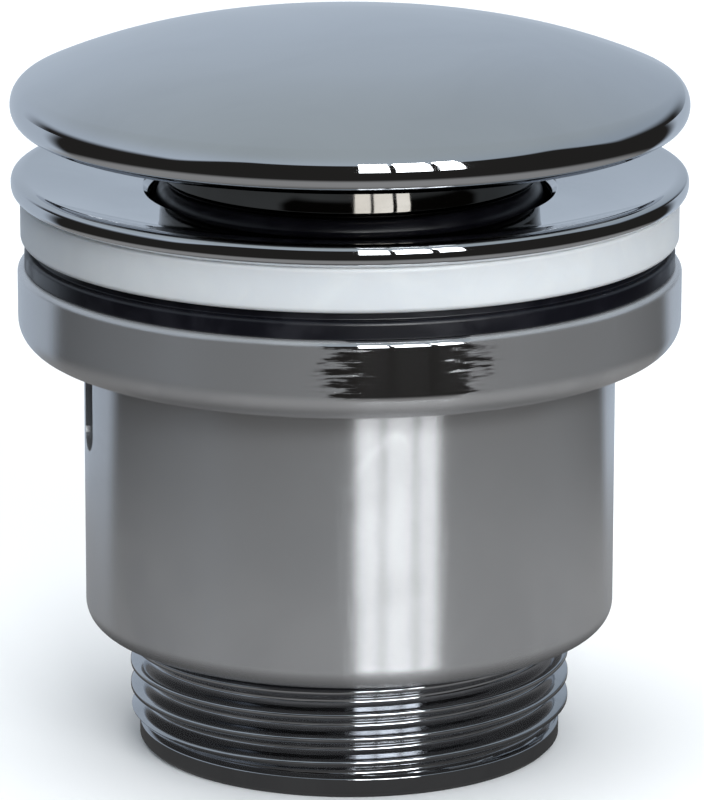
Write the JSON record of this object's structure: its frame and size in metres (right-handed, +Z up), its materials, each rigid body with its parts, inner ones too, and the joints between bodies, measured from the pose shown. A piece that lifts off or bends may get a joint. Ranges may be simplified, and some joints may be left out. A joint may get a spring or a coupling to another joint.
{
  "type": "pop up basin waste",
  "caption": "Chromed pop-up basin waste: domed press cap over a dished flange, white and black basin seals, and a barrel with a threaded tail.",
  "frame": {"origin": "centre of the end face of the threaded tail, which is the lowest face", "axes": "+Z up the axis from the tail to the cap; -Y towards the side that the picture shows, +X to its right"},
  "size_m": [0.0638, 0.0638, 0.0695],
  "materials": {
    "chrome": "polished chrome plate on brass",
    "white_seal": "smooth translucent white",
    "black_rubber": "smooth moulded rubber",
    "brass": "turned",
    "steel": "bright",
    "cam_plastic": "moulded acetal",
    "rotor_plastic": "moulded acetal"
  },
  "bodies": {
    "waste_body": {"lower_body": "chrome", "lower_seal": "black_rubber"},
    "clamp_seal": {"upper_seal": "white_seal"},
    "flange_unit": {"flange": "chrome", "cartridge_shell": "brass", "lock_washer": "steel", "cartridge_nut": "brass", "lower_cam_ring": "cam_plastic", "upper_cam_ring": "cam_plastic", "gland_bush": "brass", "wiper_ring": "black_rubber", "return_spring": "steel"},
    "cap_unit": {"plunger": "brass", "spring_seat": "brass", "thrust_washer": "steel", "seal_retainer": "brass", "plug_seal": "black_rubber", "plug_boss": "chrome", "dome_cap": "chrome"},
    "latch_rotor": {"rotor": "rotor_plastic"}
  },
  "joints": [
    {"name": "clamp_lift", "type": "slide", "parent": "waste_body", "child": "clamp_seal", "axis": [0, 0, 1], "range_m": [0, 0.01386]},
    {"name": "flange_turn", "type": "hinge", "parent": "clamp_seal", "child": "flange_unit", "pos_m": [0, 0, 0.0535], "axis": [0, 0, 1], "range_deg": [0, 2160]},
    {"name": "cap_press", "type": "slide", "parent": "flange_unit", "child": "cap_unit", "axis": [0, 0, 1], "range_m": [-0.002, 0.006], "deforming": ["return_spring"]},
    {"name": "rotor_index", "type": "hinge", "parent": "cap_unit", "child": "latch_rotor", "pos_m": [0, 0, 0.0266], "axis": [0, 0, 1], "range_deg": [-7.6, 22.6]}
  ],
  "couplings": [
    {"joint": "clamp_lift", "follows": "flange_turn", "m_per_rad": 0.00036749},
    {"joint": "rotor_index", "follows": "cap_press", "rad_per_m": 65.45}
  ]
}
